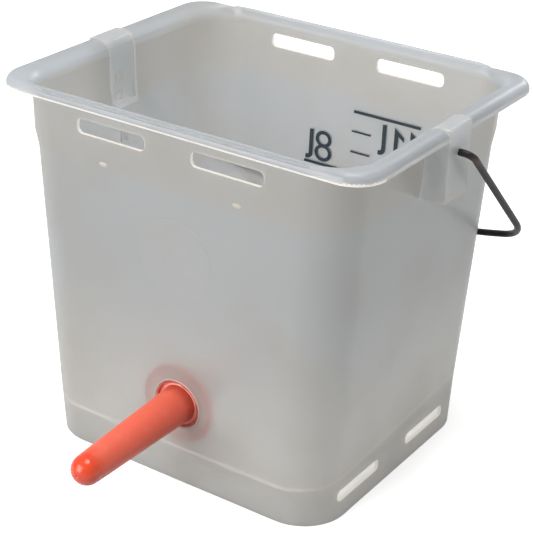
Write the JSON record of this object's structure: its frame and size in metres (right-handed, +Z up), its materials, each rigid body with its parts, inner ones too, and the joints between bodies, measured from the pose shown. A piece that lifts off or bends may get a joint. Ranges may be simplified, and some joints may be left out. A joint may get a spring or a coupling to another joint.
{
  "type": "calf feeding bucket",
  "caption": "Rectangular translucent milk pail with a rolled rim, hanging slots, a hinged wire bail, and a rubber teat with a ball valve behind it.",
  "frame": {"origin": "centre of the foot, on the ground", "axes": "+Z up, +X along the two long walls, the teat's wall faces -Y"},
  "size_m": [0.3398, 0.3662, 0.29],
  "materials": {
    "natural_polypropylene": "satin, translucent",
    "bail_steel": "blackened wire",
    "red_rubber": "satin",
    "valve_plastic": "satin",
    "seal_rubber": "matte",
    "ball_plastic": "gloss"
  },
  "bodies": {
    "bucket": {"bucket_shell": "natural_polypropylene", "teat": "red_rubber", "valve_body": "valve_plastic", "valve_seal": "seal_rubber", "valve_cap": "valve_plastic"},
    "bail": {"bail_handle": "bail_steel"},
    "ball": {"valve_ball": "ball_plastic"}
  },
  "joints": [
    {"name": "bail_swing", "type": "hinge", "parent": "bucket", "child": "bail", "pos_m": [0, 0, 0.27], "axis": [1, 0, 0], "range_deg": [0, 268]},
    {"name": "ball_lift", "type": "slide", "parent": "bucket", "child": "ball", "axis": [0, -0.9997, -0.0257], "range_m": [0, 0.0045]}
  ]
}
